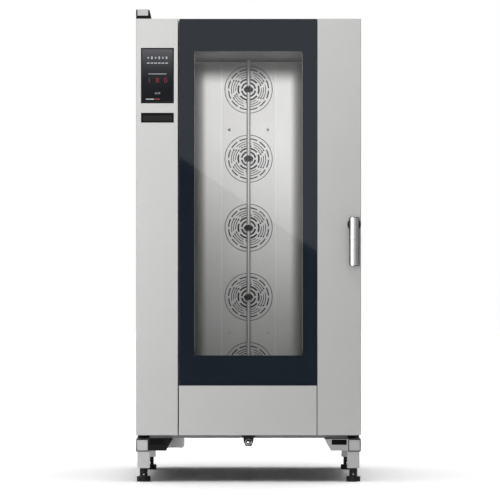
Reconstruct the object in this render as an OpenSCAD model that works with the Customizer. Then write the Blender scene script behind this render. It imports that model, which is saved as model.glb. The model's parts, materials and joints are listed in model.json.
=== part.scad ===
// Floor-standing combi steamer oven with a glazed door and five convection fans.
// Millimetres. X to the right, Y to the rear, Z up from the floor, door to the front.

/* [Cabinet] */
// Width of the cabinet
cab_w = 892; // [860:1:1100]
// Depth of the cabinet from its front frame to its rear panel
cab_d = 839; // [690:1:1050]
// Height of the cabinet above its chassis
cab_h = 1651; // [1550:1:2000]
// Thickness of the sheet steel
sheet = 1.5; // [1:0.1:1.8]
// Reach of the rear fittings past the rear panel
tail = 30; // [22:1:60]

/* [Control column] */
// Width of the column
column_w = 167; // [164:1:180]
// Fold radius of the column
column_r = 3; // [3:1:12]
// Width of the display glass
display_w = 130; // [100:1:132]
// Height of the display glass
display_h = 219; // [190:1:280]
// Thickness of the display glass
display_t = 4; // [3:0.5:5]
// Distance from the column's left side to the display
display_in = 20; // [18:1:22]
// Distance from the top of the cabinet to the display
display_drop = 116; // [60:1:300]
// Height of the service port
port_h = 39; // [34:1:60]
// Gap between the display and the service port
port_drop = 38; // [25:1:80]
// Gap round a panel that sits in a cut-out
fit = 0.4; // [0.2:0.1:0.8]

/* [Cavity] */
// Inner width of the cavity
cavity_w = 500; // [440:1:520]
// Height of the space below the cavity floor
floor_space = 129; // [115:1:200]
// Height of the space above the cavity ceiling
ceiling_space = 113; // [80:1:160]
// Depth of the motor space behind the cavity
motor_space = 99; // [95:1:160]
// Depth of the fan space behind the baffle
fan_space = 120; // [110:1:160]
// Radius of the coved rear corners
cove_r = 30; // [24:1:40]
// Thickness of the insulation
lagging = 40; // [30:1:60]
// Running clearance of shafts and pins
run_gap = 0.05; // [0.02:0.01:0.1]

/* [Fans] */
// Distance of the end fans from the cavity floor and ceiling
fan_edge = 123; // [118:1:180]
// Radius of a fan wheel
wheel_r = 100; // [90:1:104]
// Width of a fan wheel along its axle
wheel_w = 60; // [40:1:70]
// Number of blades on a wheel
blade_count = 18; // [8:1:20]
// Radius of a fan shaft
shaft_r = 8; // [6:0.5:10]
// Radius of the heating coil round a wheel
coil_r = 112; // [108:1:116]
// Radius of the coil's tube
coil_tube = 4; // [3:0.5:5]
// Half the width of the flat centre panel of the baffle
baffle_x = 114; // [105:1:125]
// Bend radius of the baffle wings
wing_r = 55; // [40:1:60]
// Radius of the water pipe
pipe_r = 8; // [6:0.5:10]

/* [Door] */
// Thickness of the door
door_t = 75; // [60:1:95]
// Gap between the door and the front frame, filled by the gasket
seal_t = 12; // [10:1:16]
// Gap between the column and the door
door_gap = 2.5; // [2.5:0.5:8]
// Seam between the pieces of the door's front
seam = 1.5; // [1:0.5:5]
// Width of the steel fascia at the right of the door
fascia_w = 173; // [164:1:180]
// Thickness of the outer glass
glass_t = 4; // [3:0.5:5]
// Thickness of the inner glass
inner_t = 5; // [4:0.5:6]
// Height of the steel panel below the glass
panel_h = 197; // [150:1:260]
// How far the window stays inside the cavity mouth on each side
window_inset = 36; // [30:1:60]
// Height of the door below the window
sill_h = 316; // [280:1:400]
// Height of the door above the window
head_h = 118; // [80:1:160]
// Wall of the door frame's box sections
frame_wall = 2; // [1.5:0.5:3]
// Fold radius of the door's steel panels
panel_r = 3; // [3:0.5:8]
// Hinge axis behind the door's face
hinge_back = 10.5; // [10:0.5:12]
// Hinge axis inside the door's left edge
hinge_in = 20; // [16:0.5:22]
// Radius of the hinge pins
pin_r = 4; // [3:0.5:4.5]
// Depth of the hinge notches at the top and bottom of the door
notch = 14; // [12:0.5:24]

/* [Handle] */
// Reach of the handle in front of the door
handle_out = 62; // [50:1:80]
// Width of the handle's black core
grip_w = 40; // [30:1:50]
// Length of the handle's black core
grip_l = 192; // [140:1:260]
// Thickness of the handle with its steel bar
grip_t = 22; // [18:1:28]
// Radius of the hub
hub_r = 26.5; // [20:0.5:28]
// Height of the spindle above the door's lower edge
spindle_h = 835; // [500:1:1100]
// Distance from the spindle to the door's right edge
spindle_in = 28; // [26:1:40]
// Radius of the spindle
spindle_r = 6; // [5:0.5:8]

/* [Chassis] */
// Height of a foot's base
foot_h = 21; // [15:1:30]
// Radius of a foot's base
foot_r = 28; // [22:1:36]
// Visible height of a foot's stem
stem_h = 33; // [31:1:60]
// Radius of a foot's stem
stem_r = 16; // [14:0.5:20]
// Radius of the threaded part of a foot
thread_r = 12; // [8:0.5:13]
// Height of a leg
leg_h = 66; // [60:1:120]
// Width of a leg
leg_w = 48; // [44:1:54]
// Width and height of a rail
rail_w = 50; // [44:1:60]
// Wall of the rails and legs
tube_wall = 3; // [2:0.5:4]
// Height of the pads between rails and cabinet
pad_h = 16; // [12:1:24]
// Distance from the cabinet's side to the axis of a leg
leg_in = 29; // [29:1:40]
// Distance from the door's face to the axis of the front legs
leg_front = 45; // [42:1:80]
// Distance from the rear panel to the axis of the rear legs
leg_rear = 158; // [70:1:200]

/* [Hidden] */
$fn = 64;
// A cut or a weld reaches this far past the face that it meets
eps = 1;

// Levels along Y, with the middle of the whole depth at the origin
overall_d = handle_out + door_t + seal_t + cab_d + tail;
y_grip = -overall_d / 2;
y_door = y_grip + handle_out;
y_in = y_door + sheet;
y_seal = y_door + door_t;
y_frame = y_seal + seal_t;
y_rear = y_frame + cab_d;
y_tail = y_rear + tail;
y_wall = y_rear - motor_space;
y_baffle = y_wall - fan_space;

// Levels along Z
z_leg = foot_h + stem_h;
z_rail = z_leg + leg_h;
z_pad = z_rail + rail_w;
z_bot = z_pad + pad_h;
z_top = z_bot + cab_h;
z_floor = z_bot + floor_space;
z_ceil = z_top - ceiling_space;

// Half widths and levels along X
half_w = cab_w / 2;
in_x = half_w - sheet;
cav_x = cavity_w / 2;
column_x = -half_w + column_w;
door_x = column_x + door_gap;
fascia_x = half_w - fascia_w;
glass_x = fascia_x - seam;

// Fans, from the lowest to the highest
fan_count = 5;
fan_pitch = (z_ceil - z_floor - 2 * fan_edge) / (fan_count - 1);
function fan_z(i) = z_floor + fan_edge + i * fan_pitch;
wheel_gap = 28;
wheel_y = y_baffle + wheel_gap;
shaft_in = 58;
shaft_end = y_wall + shaft_in;

// The baffle keeps this gap to the cavity floor and ceiling. Its posts stand beside the
// grilles, at these shares of the pitch above the first fan and the fourth
baffle_gap = 10;
post_low = 0.48;
post_high = 0.42;
post_x = 81;
post_z = [fan_z(0) + fan_pitch * post_low, fan_z(3) + fan_pitch * post_high];
post_r = 8;
screw_r = 3;
screw_head_r = 5.5;
screw_head_h = 4;

// Pipe in front of the baffle
pipe_gap = 20;
pipe_y = y_baffle - pipe_gap;

// Door frame, window and hinges
stile_y = y_door + glass_t;
bead = 8;
win_x = cav_x - window_inset;
stile_x = win_x + bead;
z_sill = z_bot + sill_h - bead;
z_head = z_top - head_h + bead;
z_glass = z_bot + panel_h + seam / 2;
hinge_x = door_x + hinge_in;
hinge_y = y_door + hinge_back;
hinge_plate = 8;
hinge_air = 2;
bush_wall = 1;
bush_l = 30;
door_z = [z_bot + notch, z_top - notch];

// Handle and latch
spindle_x = half_w - spindle_in;
spindle_z = z_bot + spindle_h;
socket_l = 20;
grip_edge = 2;
bar_t = 12;
bar_w = grip_w - 2 * grip_edge;
bar_r = (bar_w * bar_w / 4 + bar_t * bar_t) / (2 * bar_t);
grip_over = hub_r + 1.5;
grip_z = [spindle_z + grip_over - grip_l, spindle_z + grip_over];
cam_l = 44;
cam_w = 16;
cam_t = 12;
cam_gap = 8;
cam_y = [y_frame + cam_gap, y_frame + cam_gap + cam_t];
latch_hole = cam_l / 2 + 5;

// Display, service port and what is behind them. Rims stay clear of the column's folds
display_x = [-half_w + display_in, -half_w + display_in + display_w];
display_z = [z_top - display_drop - display_h, z_top - display_drop];
display_proud = 0.5;
display_back = y_door - display_proud + display_t;
rim_w = 7;
rim = min(rim_w, min(display_in, column_w - display_in - display_w) - column_r);
housing_d = 36;
port_x = display_x;
port_z = [display_z[0] - port_drop - port_h, display_z[0] - port_drop];
flap_barrel = 2;
flap_pin = 1.2;
flap_pin_l = 4;
flap_in = 4;
flap_y = y_in + flap_barrel;
flap_z = port_z[1] - flap_in;

// Exhaust stack on the column's top
stack_w = 61;
stack_d = 68;
stack_front = 8;
stack_x = [-half_w, -half_w + stack_w];
stack_y = [y_door + stack_front, y_door + stack_front + stack_d];
stack_h = 38;
stack_base = 9;
stack_wall = 8;
stack_lean = 8;
stack_step = 5;
sleeve_x = [stack_x[0] + eps, stack_x[1] - stack_lean - stack_step];

// Services
drain_r = 22;
drain_wall = 2.5;
drain_flange = 38;
drain_back = 310;
drain_up = 44;
drain_y = y_frame + drain_back;
drain_z = z_bot + drain_up;
outlet_r = 25;
inlet_r = 13.2;
inlet_in = 116;
inlet_pitch = 70;
inlet_up = 74;
inlet_x = [-half_w + inlet_in, -half_w + inlet_in + inlet_pitch];
inlet_z = z_bot + inlet_up;
gland_bore = 9;
gland_r = 14;
gland_in = 46;
gland_up = 60;
gland_x = -half_w + gland_in;
gland_z = z_bot + gland_up;
steam_r = 15;
steam_up = 360;
steam_back = 260;
steam_z = z_floor + steam_up;
steam_y = y_frame + steam_back;

// Chassis
rail_front = 17;
rail_rear = 39;
rail_y = [y_door + rail_front, y_rear - rail_rear];
rail_x = [half_w - rail_w, half_w];
leg_x = half_w - leg_in;
leg_y = [y_door + leg_front, y_rear - leg_rear];
lip_in = 4;
lip_x = rail_x[0] - lip_in;
dock_t = 6;
dock_y = [y_frame + sheet - dock_t, y_frame + sheet];

function grow(range, by) = [range[0] - by, range[1] + by];
function around(middle, by) = [middle - by, middle + by];
function mid(range) = (range[0] + range[1]) / 2;

module block(x, y, z) {
    translate([x[0], y[0], z[0]]) cube([x[1] - x[0], y[1] - y[0], z[1] - z[0]]);
}

module rod_x(r, x, y, z) {
    translate([x[0], y, z]) rotate([0, 90, 0]) cylinder(r = r, h = x[1] - x[0]);
}

module rod_y(r, x, y, z) {
    translate([x, y[1], z]) rotate([90, 0, 0]) cylinder(r = r, h = y[1] - y[0]);
}

module rod_z(r, x, y, z) {
    translate([x, y, z[0]]) cylinder(r = r, h = z[1] - z[0]);
}

// Hexagon nut along Y
module nut_y(r, x, y, z) {
    translate([x, y[1], z]) rotate([90, 0, 0]) cylinder(r = r, h = y[1] - y[0], $fn = 6);
}

// A flat shape drawn in X and Z, given its thickness along Y
module upright(y) {
    translate([0, y[1], 0]) rotate([90, 0, 0]) linear_extrude(y[1] - y[0]) children();
}

module rect(x, y) {
    translate([x[0], y[0]]) square([x[1] - x[0], y[1] - y[0]]);
}

module round_rect(x, y, r) {
    rect([x[0] + r, x[1] - r], y);
    rect(x, [y[0] + r, y[1] - r]);
    for (px = [x[0] + r, x[1] - r], py = [y[0] + r, y[1] - r]) translate([px, py]) circle(r);
}

// Slot with round ends, centred
module long_slot(w, h) {
    square([w - h, h], center = true);
    for (x = [(h - w) / 2, (w - h) / 2]) translate([x, 0]) circle(h / 2);
}

module both_sides() {
    children();
    mirror([1, 0, 0]) children();
}

// Plan of a folded panel with two rounded front corners, drawn inwards by inset
module fold_plan(x, y, r, inset) {
    rect([x[0] + inset, x[1] - inset], [y[0] + r, y[1]]);
    rect([x[0] + r, x[1] - r], [y[0] + inset, y[0] + r + eps]);
    for (px = [x[0] + r, x[1] - r]) translate([px, y[0] + r]) intersection() {
        circle(r - inset);
        translate([-r, -r]) square([2 * r, r + eps]);
    }
}

// Tray folded from sheet, open at the back
module folded_tray(x, y, z, r) {
    difference() {
        translate([0, 0, z[0]]) linear_extrude(z[1] - z[0]) fold_plan(x, y, r, 0);
        translate([0, 0, z[0] + sheet]) linear_extrude(z[1] - z[0] - 2 * sheet)
            fold_plan(x, [y[0], y[1] + eps], r, sheet);
    }
}

// Base pan with a lip all round that stands on the rails' inner edges
module base_pan() {
    lip_z = [z_pad, z_bot + eps];
    lip_y = [y_frame + sheet, y_rear - 2 * sheet];
    color("gray") {
        block([-in_x, in_x], [y_frame + sheet, y_rear - sheet], [z_bot, z_bot + sheet]);
        for (y = lip_y) block([-lip_x, lip_x], [y, y + sheet], lip_z);
        both_sides() block([lip_x - sheet, lip_x], [lip_y[0], lip_y[1] + sheet], lip_z);
    }
}

module side_panel() {
    color("silver") block([in_x, half_w], [y_frame, y_rear - sheet], [z_bot, z_top - sheet]);
}

module top_panel() {
    color("silver") block([-half_w, half_w], [y_frame, y_rear], [z_top - sheet, z_top]);
}

// Rear panel with four fields of louvre slots and the holes of the services
module rear_panel() {
    slot_w = 130;
    slot_h = 7;
    slot_pitch = 24;
    rows = 9;
    field_x = 270;
    field_low = 300;
    field_high = 420;
    color("silver") upright([y_rear - sheet, y_rear]) difference() {
        rect([-half_w, half_w], [z_bot, z_top - sheet]);
        for (x = [-field_x, field_x], z = [z_bot + field_low, z_top - field_high], i = [0 : rows - 1])
            translate([x, z + i * slot_pitch]) long_slot(slot_w, slot_h);
        translate([0, drain_z]) circle(drain_r + fit);
        for (x = inlet_x) translate([x, inlet_z]) circle(inlet_r + fit);
        translate([gland_x, gland_z]) circle(gland_r + fit);
    }
}

// Four flat strips round the mouth, welded edge to edge. The right one has the latch's hole
module front_frame() {
    weld_gap = 0.2;
    z = [z_bot + sheet, z_top - sheet];
    between = [-cav_x + weld_gap, cav_x - weld_gap];
    color("silver") upright([y_frame, y_frame + sheet]) {
        rect([-in_x, -cav_x], z);
        rect(between, [z[0], z_floor]);
        rect(between, [z_ceil, z[1]]);
        difference() {
            rect([cav_x, in_x], z);
            translate([spindle_x, spindle_z]) circle(latch_hole);
        }
    }
}

module control_fascia() {
    color("silver") difference() {
        folded_tray([-half_w, column_x], [y_door, y_frame], [z_bot, z_top], column_r);
        block(grow(display_x, fit), [y_door - eps, y_in + eps], grow(display_z, fit));
        block(port_x, [y_door - eps, y_in + eps], port_z);
        block(grow(stack_x, -stack_wall - eps), grow(stack_y, -stack_wall - eps),
            [z_top - sheet - eps, z_top + eps]);
    }
}

module display_glass() {
    color("black") block(display_x, [y_door - display_proud, display_back], display_z);
}

// Frame behind the display glass, which rests on its ledge
module display_housing() {
    ledge = 8;
    color("dimgray") difference() {
        block(grow(display_x, rim), [y_in, y_in + housing_d], grow(display_z, rim));
        block(grow(display_x, fit), [y_in - eps, display_back], grow(display_z, fit));
        block(grow(display_x, -ledge), [y_in, y_in + housing_d + eps], grow(display_z, -ledge));
    }
}

// Board on the back of the display housing, with its chips and capacitors
module control_board() {
    y = y_in + housing_d;
    board_t = 2;
    chip_w = 22;
    chip_t = 10;
    can_r = 11;
    can_l = 28;
    inset = 12;
    rows = 4;
    pitch = (display_h - 2 * inset - chip_w) / (rows - 1);
    color("darkgreen") {
        block(display_x, [y, y + board_t], display_z);
        for (i = [0 : rows - 1]) {
            z = display_z[0] + inset + i * pitch;
            block([display_x[0] + inset, display_x[0] + inset + chip_w], [y, y + chip_t],
                [z, z + chip_w]);
            rod_y(can_r, display_x[1] - inset - can_r, [y, y + can_l], z + can_r);
        }
    }
}

// Recessed housing of the service port, with a socket block at its right end
module port_housing() {
    depth = 24;
    back_t = 4;
    socket_w = 14;
    socket_h = 7;
    socket_in = 10;
    color("dimgray") {
        difference() {
            block(grow(port_x, rim), [y_in, y_in + depth], grow(port_z, rim));
            block(port_x, [y_in - eps, y_in + depth - back_t], port_z);
            rod_x(flap_pin + run_gap, grow(port_x, flap_pin_l + eps), flap_y, flap_z);
        }
        block([port_x[1] - socket_in - socket_w, port_x[1] - socket_in],
            [y_in + depth / 2, y_in + depth - back_t + eps], around(mid(port_z), socket_h / 2));
    }
}

// Flap of the service port on a barrel with two pins
module port_flap() {
    flap_t = 2.5;
    side_gap = 0.8;
    x = grow(port_x, -side_gap);
    color("black") {
        block(x, [y_door, y_door + flap_t], [port_z[0] + side_gap, flap_z]);
        rod_x(flap_barrel, x, flap_y, flap_z);
        rod_x(flap_pin, grow(port_x, flap_pin_l), flap_y, flap_z);
    }
}

// Plan of the cavity, grown by the sheet for its outer side
module cavity_plan(by, front) {
    x = [-cav_x - by, cav_x + by];
    r = cove_r + by;
    rear = y_wall + by;
    rect(x, [front, rear - r]);
    rect([x[0] + r, x[1] - r], [rear - r - eps, rear]);
    for (px = [x[0] + r, x[1] - r]) translate([px, rear - r]) circle(r);
}

// Side and rear walls of the cavity in one bent sheet
module cavity_wrap() {
    shaft_hole = 20;
    through = [y_wall - eps, y_wall + sheet + eps];
    color("lightgray") difference() {
        translate([0, 0, z_floor]) linear_extrude(z_ceil - z_floor) difference() {
            cavity_plan(sheet, y_frame + sheet);
            cavity_plan(0, y_frame);
        }
        for (i = [0 : fan_count - 1]) {
            rod_y(shaft_hole, 0, through, fan_z(i));
            for (x = [-coil_r, coil_r]) rod_y(coil_tube + fit / 2, x, through, fan_z(i));
        }
        rod_x(steam_r, [-cav_x - sheet - eps, -cav_x + eps], steam_y, steam_z);
    }
}

module cavity_ceiling() {
    color("lightgray") translate([0, 0, z_ceil]) linear_extrude(sheet)
        cavity_plan(sheet, y_frame + sheet);
}

module cavity_floor() {
    color("lightgray") difference() {
        translate([0, 0, z_floor - sheet]) linear_extrude(sheet)
            cavity_plan(sheet, y_frame + sheet);
        rod_z(drain_r - drain_wall, 0, drain_y, [z_floor - sheet - eps, z_floor + eps]);
    }
}

// Slabs of mineral wool round the cavity, with room for the services
module insulation_slabs() {
    gap = 0.5;
    flange_room = 3;
    coil_room = 10;
    x = [cav_x + sheet + gap, cav_x + sheet + gap + lagging];
    y = [y_frame + sheet + gap, y_wall + sheet + lagging];
    under = [z_floor - sheet - gap - lagging, z_floor - sheet - gap];
    color("khaki") {
        block(x, y, [z_floor, z_ceil]);
        difference() {
            mirror([1, 0, 0]) block(x, y, [z_floor, z_ceil]);
            rod_x(steam_r + fit, [-x[1] - eps, -x[0] + eps], steam_y, steam_z);
        }
        block([-x[1], x[1]], y, [z_ceil + sheet + gap, z_ceil + sheet + gap + lagging]);
        difference() {
            block([-x[1], x[1]], y, under);
            rod_z(drain_flange + flange_room, 0, drain_y, grow(under, eps));
        }
        difference() {
            block(around(0, x[0] - 2 * gap), [y_wall + sheet + gap, y[1]], [z_floor, z_ceil]);
            for (i = [0 : fan_count - 1])
                rod_y(coil_r + coil_room, 0, [y_wall, y[1] + eps], fan_z(i));
        }
    }
}

// Rubber seal round the cavity mouth in four mitred strips: a base with a narrower lip in front
module door_gasket() {
    base_t = seal_t / 2;
    strip = 12;
    lip = 3;
    lip_gap = 0.3;
    mouth_gap = 0.5;
    mitre_gap = 0.2;
    module ring(inner, outer) {
        difference() {
            round_rect([-cav_x - outer, cav_x + outer], [z_floor - outer, z_ceil + outer], outer);
            round_rect([-cav_x - inner, cav_x + inner], [z_floor - inner, z_ceil + inner], inner);
        }
    }
    color("dimgray") difference() {
        union() {
            upright([y_frame - base_t, y_frame]) ring(mouth_gap, strip);
            upright([y_seal + lip_gap, y_frame - base_t]) ring(mouth_gap + lip, strip - lip);
        }
        for (side = [-1, 1], end = [[z_floor, -1], [z_ceil, 1]])
            translate([side * cav_x, y_seal, end[0]]) rotate([0, -atan2(end[1], side), 0])
                translate([0, 0, -mitre_gap / 2]) cube([2 * strip, seal_t + eps, mitre_gap]);
    }
}

// One ring of punched slots: count arcs of width w with bridges between them
module slot_ring(r, w, count, bridge, turn) {
    for (i = [0 : count - 1]) rotate(turn + i * 360 / count)
        rotate_extrude(angle = 360 / count - bridge)
            translate([r - w / 2, 0]) square([w, sheet + 2 * eps]);
}

// Fan grille, drawn in X and Y: two bold rings and an outer ring, each with its radius,
// slot width, count, bridge angle and turn. The slots of three fine rings between them
// start in round keyholes along six swept spokes
module grille_slots() {
    bold_rings = [[28.5, 7, 4, 16, 8], [43.5, 7, 6, 14, 37], [84, 5, 12, 7, 4]];
    fine_r = [54, 63, 72];
    fine_w = 3;
    fine_bridge = 14;
    key_r = 3.4;
    spokes = 6;
    first_turn = 20;
    sweep = 4.5;
    for (b = bold_rings) slot_ring(b[0], b[1], b[2], b[3], b[4]);
    for (k = [0 : len(fine_r) - 1]) {
        start = first_turn + k * sweep;
        slot_ring(fine_r[k], fine_w, spokes, fine_bridge, start);
        for (i = [0 : spokes - 1]) rotate(start + i * 360 / spokes)
            translate([fine_r[k], 0]) cylinder(r = key_r, h = sheet + 2 * eps);
    }
}

// Flat centre panel of the baffle. In front of each fan it has a punched grille and a round
// pressed bead
module fan_baffle() {
    bead_ring = 100;
    bead_r = 1.2;
    through = [y_baffle - eps, y_baffle + sheet + eps];
    color("lightgray") {
        difference() {
            block([-baffle_x, baffle_x], [y_baffle, y_baffle + sheet],
                grow([z_floor, z_ceil], -baffle_gap));
            for (i = [0 : fan_count - 1])
                translate([0, through[1], fan_z(i)]) rotate([90, 0, 0]) grille_slots();
            for (x = [-post_x, post_x], z = post_z) rod_y(screw_r + fit / 2, x, through, z);
        }
        for (i = [0 : fan_count - 1]) translate([0, y_baffle, fan_z(i)]) rotate([90, 0, 0])
            rotate_extrude() translate([bead_ring, 0]) circle(bead_r, $fn = 24);
    }
}

// Curved wings from the centre panel to the rear wall, slotted where the air leaves
module side_baffles() {
    wing_gap = 20;
    wing_end = cav_x - wing_gap;
    wing_rear = y_wall - cove_r + sqrt(cove_r * cove_r - (cove_r - wing_gap) * (cove_r - wing_gap));
    rear_gap = 0.2;
    bend_x = wing_end - wing_r;
    bend_y = y_baffle + wing_r;
    lap = 14;
    joint = 0.5;
    slots = 20;
    slot_h = 24;
    slot_edge = 40;
    slot_in = 12;
    pitch = (z_ceil - z_floor - 2 * slot_edge) / slots;
    color("lightgray") both_sides() difference() {
        translate([0, 0, z_floor + baffle_gap]) linear_extrude(z_ceil - z_floor - 2 * baffle_gap) {
            rect([baffle_x - lap, baffle_x + lap], [y_baffle + sheet, y_baffle + 2 * sheet]);
            rect([baffle_x + joint, bend_x], [y_baffle, y_baffle + sheet]);
            translate([bend_x, bend_y]) intersection() {
                difference() {
                    circle(wing_r);
                    circle(wing_r - sheet);
                }
                translate([0, -wing_r]) square(wing_r);
            }
            rect([wing_end - sheet, wing_end], [bend_y, wing_rear - rear_gap]);
        }
        for (i = [0 : slots - 1])
            block(grow([wing_end - sheet, wing_end], eps), [bend_y + slot_in, wing_rear - slot_in],
                around(z_floor + slot_edge + pitch * (i + 0.5), slot_h / 2));
    }
}

// Posts that carry the baffle on the rear wall, with their screws
module baffle_posts() {
    color("silver") for (x = [-post_x, post_x], z = post_z) {
        rod_y(post_r, x, [y_baffle + sheet, y_wall], z);
        rod_y(screw_r, x, [y_baffle - eps, y_baffle + sheet + eps], z);
        rod_y(screw_head_r, x, [y_baffle - screw_head_h, y_baffle], z);
    }
}

module water_pipe() {
    color("silver") rod_z(pipe_r, 0, pipe_y, [z_floor, z_ceil]);
}

// Lens-shaped nozzle plates clamped on the front of the pipe
module spray_nozzles() {
    lens_w = 41;
    lens_h = 26;
    lens_t = 10;
    lens_r = (lens_w * lens_w + lens_h * lens_h) / (4 * lens_h);
    lens_off = lens_r - lens_h / 2;
    wrap = 4;
    tip_r = 5;
    tip_l = 4;
    face = pipe_y - pipe_r - lens_t + wrap;
    color("dimgray") for (i = [0 : fan_count - 1]) difference() {
        union() {
            translate([0, 0, fan_z(i)]) upright([face, face + lens_t]) intersection() {
                translate([0, lens_off]) circle(lens_r);
                translate([0, -lens_off]) circle(lens_r);
            }
            rod_y(tip_r, 0, [face - tip_l, face + eps], fan_z(i));
        }
        rod_z(pipe_r, 0, pipe_y, around(fan_z(i), lens_h));
    }
}

// Ring heaters: three turns on two legs that pass through the rear wall
module heating_elements() {
    turns = 3;
    front_in = 8;
    pitch = 22;
    terminal = 20;
    first = wheel_y + front_in;
    color("dimgray") for (i = [0 : fan_count - 1]) {
        for (k = [0 : turns - 1])
            translate([0, first + k * pitch, fan_z(i)]) rotate([90, 0, 0])
                rotate_extrude() translate([coil_r, 0]) circle(coil_tube, $fn = 24);
        for (x = [-coil_r, coil_r]) rod_y(coil_tube, x, [first, y_wall + terminal], fan_z(i));
    }
}

// Finned motors on the back of the cavity
module fan_motors() {
    flange_r = 75;
    flange_t = 6;
    body_r = 60;
    fin_r = 66;
    fin_t = 4;
    fin_pitch = 14;
    fins = 5;
    rear_gap = 8;
    front = y_wall + sheet;
    color("slategray") for (i = [0 : fan_count - 1]) difference() {
        union() {
            rod_y(flange_r, 0, [front, front + flange_t], fan_z(i));
            rod_y(body_r, 0, [front, y_rear - sheet - rear_gap], fan_z(i));
            for (k = [1 : fins]) rod_y(fin_r, 0, [front + fin_pitch * k, front + fin_pitch * k + fin_t],
                fan_z(i));
        }
        rod_y(shaft_r + run_gap, 0, [y_wall, shaft_end + eps], fan_z(i));
    }
}

// Radial fan wheel on its shaft: back plate, swept blades and a front ring
module fan_wheel(i) {
    plate_t = 3;
    blade_t = 2;
    blade_l = 38;
    blade_in = 6;
    blade_lean = 35;
    ring_w = 14;
    hub_size = 22;
    hub_in = 10;
    back = wheel_y + wheel_w;
    color("silver") {
        rod_y(wheel_r, 0, [back - plate_t, back], fan_z(i));
        rod_y(hub_size, 0, [wheel_y + hub_in, back], fan_z(i));
        rod_y(shaft_r, 0, [wheel_y + hub_in, shaft_end], fan_z(i));
        difference() {
            rod_y(wheel_r, 0, [wheel_y, wheel_y + plate_t], fan_z(i));
            rod_y(wheel_r - ring_w, 0, [wheel_y - eps, wheel_y + plate_t + eps], fan_z(i));
        }
        for (k = [0 : blade_count - 1])
            translate([0, 0, fan_z(i)]) rotate([0, k * 360 / blade_count, 0])
                translate([wheel_r - blade_in, wheel_y + eps, 0]) rotate([0, blade_lean, 0])
                    translate([-blade_l, 0, -blade_t / 2])
                        cube([blade_l, wheel_w - plate_t, blade_t]);
    }
}

// Steam generator in the left compartment: a hollow tank with its tube into the cavity
module steam_generator() {
    tank_in = 22;
    tank_w = 110;
    tank_d = 220;
    tank_r = 40;
    neck = 60;
    wall = 2;
    x = [-half_w + tank_in, -half_w + tank_in + tank_w];
    y = around(steam_y, tank_d / 2);
    z = [z_bot + sheet, steam_z - neck];
    module tank(by, over) {
        translate([0, 0, z[0] + by]) linear_extrude(z[1] - z[0] - 2 * by)
            round_rect(grow(x, -by), grow(y, -by), tank_r - by);
        rod_z(steam_r - by, mid(x), steam_y, [z[1] - wall - eps, steam_z]);
        translate([mid(x), steam_y, steam_z]) sphere(steam_r - by);
        rod_x(steam_r - by, [mid(x), -cav_x - sheet + over], steam_y, steam_z);
    }
    color("silver") difference() {
        tank(0, 0);
        tank(wall, eps);
    }
}

// Drain pipe from the cavity floor to its outlet collar on the rear panel
module drain_pipe() {
    flange_t = 3;
    outlet_y = [y_rear, y_rear + tail - flange_t - eps];
    module path(r, over) {
        rod_z(r, 0, drain_y, [drain_z, z_floor - sheet + over]);
        translate([0, drain_y, drain_z]) sphere(r);
        rod_y(r, 0, [drain_y, outlet_y[1] + over], drain_z);
    }
    color("silver") difference() {
        union() {
            path(drain_r, 0);
            rod_z(drain_flange, 0, drain_y, [z_floor - sheet - flange_t, z_floor - sheet]);
            rod_y(outlet_r, 0, outlet_y, drain_z);
        }
        path(drain_r - drain_wall, eps);
    }
}

// Threaded water inlets, clamped on the rear panel by a nut on each side
module water_inlets() {
    bore = 8;
    inside = 40;
    nut_r = 20;
    nut_t = 8;
    color("goldenrod") for (x = inlet_x) difference() {
        union() {
            rod_y(inlet_r, x, [y_rear - inside, y_tail], inlet_z);
            nut_y(nut_r, x, [y_rear - sheet - nut_t, y_rear - sheet], inlet_z);
            nut_y(nut_r, x, [y_rear, y_rear + nut_t], inlet_z);
        }
        rod_y(bore, x, [y_rear - inside - eps, y_tail + eps], inlet_z);
    }
}

module cable_gland() {
    nut_r = 19;
    nut_t = 8;
    inside = 14;
    outside = 18;
    y = [y_rear - inside, y_rear + outside];
    color("black") difference() {
        union() {
            rod_y(gland_r, gland_x, y, gland_z);
            nut_y(nut_r, gland_x, [y_rear - sheet - nut_t, y_rear - sheet], gland_z);
            nut_y(nut_r, gland_x, [y_rear, y_rear + nut_t], gland_z);
        }
        rod_y(gland_bore, gland_x, grow(y, eps), gland_z);
    }
}

// Junction box hung under the base pan, with its lid below
module terminal_box() {
    box_in = 110;
    box_w = 76;
    box_back = 60;
    box_d = 120;
    box_up = 11;
    lid_t = 3;
    lid_in = 4;
    wire_r = 8;
    wire_deep = 6;
    x = [-half_w + box_in, -half_w + box_in + box_w];
    y = [y_frame + box_back, y_frame + box_back + box_d];
    z = [z_rail + box_up, z_bot];
    color("gray") difference() {
        union() {
            block(x, y, z);
            block(grow(x, -lid_in), grow(y, -lid_in), [z[0] - lid_t, z[0] + eps]);
        }
        rod_x(wire_r, [x[1] - wire_deep, x[1] + eps], mid(y), mid(z));
    }
}

// Steel sleeve of the exhaust, open through its height
module exhaust_stack() {
    y = grow(stack_y, -2 * eps);
    color("silver") difference() {
        block(sleeve_x, y, [z_top + stack_base, z_top + stack_h]);
        block([stack_x[0] + stack_wall, sleeve_x[1] - stack_wall + eps],
            grow(stack_y, -stack_wall), [z_top, z_top + stack_h + eps]);
    }
}

// Black foot of the exhaust with a sloping cheek beside the sleeve
module stack_flange() {
    base = z_top + stack_base;
    cheek = z_top + stack_h - 2 * eps;
    color("black") difference() {
        upright(stack_y) polygon([
            [stack_x[0], z_top], [stack_x[1], z_top], [stack_x[1] - stack_lean, cheek],
            [sleeve_x[1], cheek], [sleeve_x[1], base], [stack_x[0], base]
        ]);
        block([stack_x[0] + stack_wall, sleeve_x[1] - stack_wall + eps],
            grow(stack_y, -stack_wall), [z_top - eps, base + eps]);
    }
}

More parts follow.
